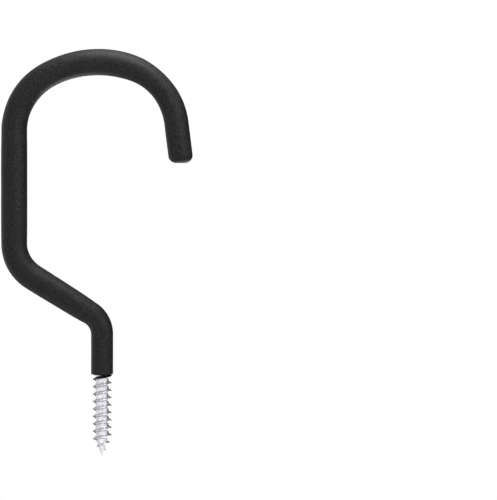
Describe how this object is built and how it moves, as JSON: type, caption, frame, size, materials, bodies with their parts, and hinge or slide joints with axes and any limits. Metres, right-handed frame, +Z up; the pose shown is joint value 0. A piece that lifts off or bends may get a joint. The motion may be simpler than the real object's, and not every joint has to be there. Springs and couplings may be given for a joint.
{
  "type": "bicycle storage hook",
  "caption": "Steel ceiling hook that holds a bicycle by one wheel: a wide crook on an offset shank, dipped in black vinyl, with a lag screw at its upper end.",
  "frame": {"origin": "on the screw's axis where the screw leaves the vinyl, in the plane of the ceiling that it is screwed into", "axes": "+Z up along the screw into the ceiling, the hook bent in the XZ plane with its shank at +X and its tip at -X, and the rod's width along Y"},
  "size_m": [0.074, 0.01, 0.1574],
  "materials": {
    "zinc_steel": "bright zinc plated",
    "black_vinyl": "matt dipped vinyl"
  },
  "bodies": {
    "root": {"steel_hook": "zinc_steel", "vinyl_coat": "black_vinyl"}
  },
  "joints": []
}
